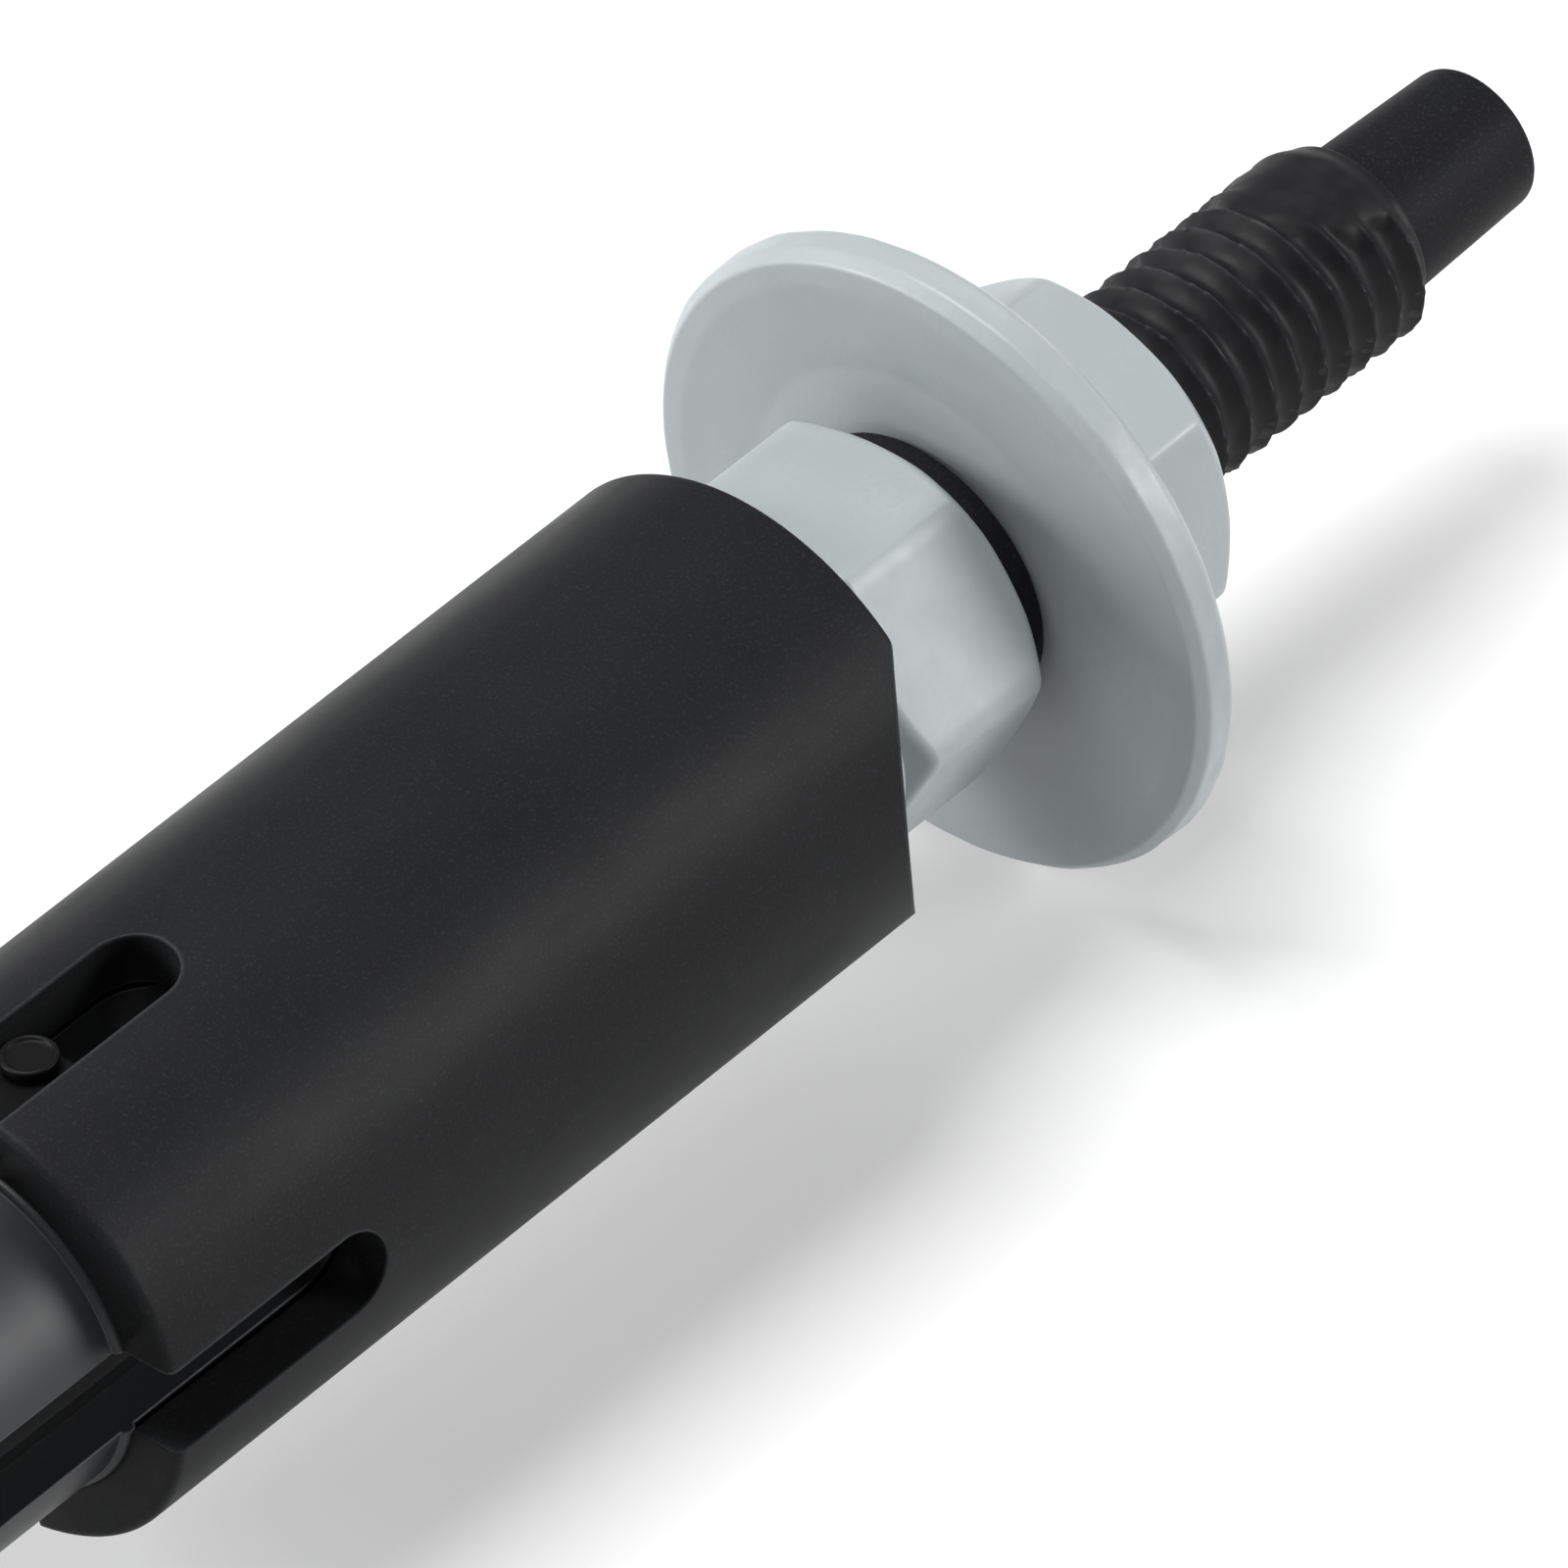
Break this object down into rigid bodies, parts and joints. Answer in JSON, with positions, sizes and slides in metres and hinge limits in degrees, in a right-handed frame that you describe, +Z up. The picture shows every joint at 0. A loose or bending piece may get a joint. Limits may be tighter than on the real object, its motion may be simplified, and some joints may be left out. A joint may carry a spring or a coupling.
{
  "type": "desoldering pump",
  "caption": "Hand desoldering pump with a slotted black barrel, grey hexagonal nozzle guard with a round flange, ribbed nozzle sleeve, release lever and spring plunger.",
  "frame": {"origin": "centre of the footprint, on the surface that the pump lies on", "axes": "+X along the pump's axis towards the nozzle, +Z up through the release lever"},
  "size_m": [0.2228, 0.034, 0.0304],
  "materials": {
    "barrel_black": "satin moulded black with a fine speckle",
    "tube_black": "smooth satin black",
    "grey_plastic": "semi-gloss light grey",
    "seal_rubber": "smooth black rubber",
    "nozzle_black": "satin black",
    "sleeve_rubber": "ribbed black rubber",
    "grip_rubber": "grooved black rubber",
    "guide_brass": "turned",
    "steel": "ground and turned",
    "spring_steel": "drawn wire",
    "piston_plastic": "moulded pale grey",
    "collar_plastic": "moulded black",
    "knob_black": "satin moulded black",
    "lever_black": "black finished steel"
  },
  "bodies": {
    "housing": {"front_barrel": "barrel_black", "rear_tube": "tube_black", "barrel_plug": "grey_plastic", "plug_seal": "seal_rubber", "finger_guard": "grey_plastic", "nozzle": "nozzle_black", "nozzle_sleeve": "sleeve_rubber", "rod_guide": "guide_brass", "guide_screw_left": "steel", "guide_screw_right": "steel", "main_spring": "spring_steel", "bumper_ring": "seal_rubber", "end_bush": "guide_brass", "rear_nut": "grey_plastic", "grip_sleeve": "grip_rubber", "lever_pivot_pin": "steel", "lever_spring": "spring_steel"},
    "plunger": {"plunger_rod": "steel", "piston": "piston_plastic", "piston_seal": "seal_rubber", "piston_nut": "steel", "cleaning_pin": "steel", "spring_collar": "collar_plastic", "collar_clip": "spring_steel", "thumb_knob": "knob_black", "knob_cap": "grey_plastic"},
    "release_lever_body": {"release_lever": "lever_black", "thumb_pad": "grey_plastic", "latch_pin": "lever_black"}
  },
  "joints": [
    {"name": "plunger_slide", "type": "slide", "parent": "housing", "child": "plunger", "axis": [1, 0, 0], "range_m": [0, 0.0215], "stiffness_N_per_m": 400, "springref_m": -0.012, "deforming": ["main_spring"]},
    {"name": "lever_hinge", "type": "hinge", "parent": "housing", "child": "release_lever_body", "pos_m": [0.0011, 0, 0.0218], "axis": [0, -1, 0], "range_deg": [0, 4], "stiffness_Nm_per_rad": 0.05, "springref_deg": -5.73, "deforming": ["lever_spring"]}
  ]
}
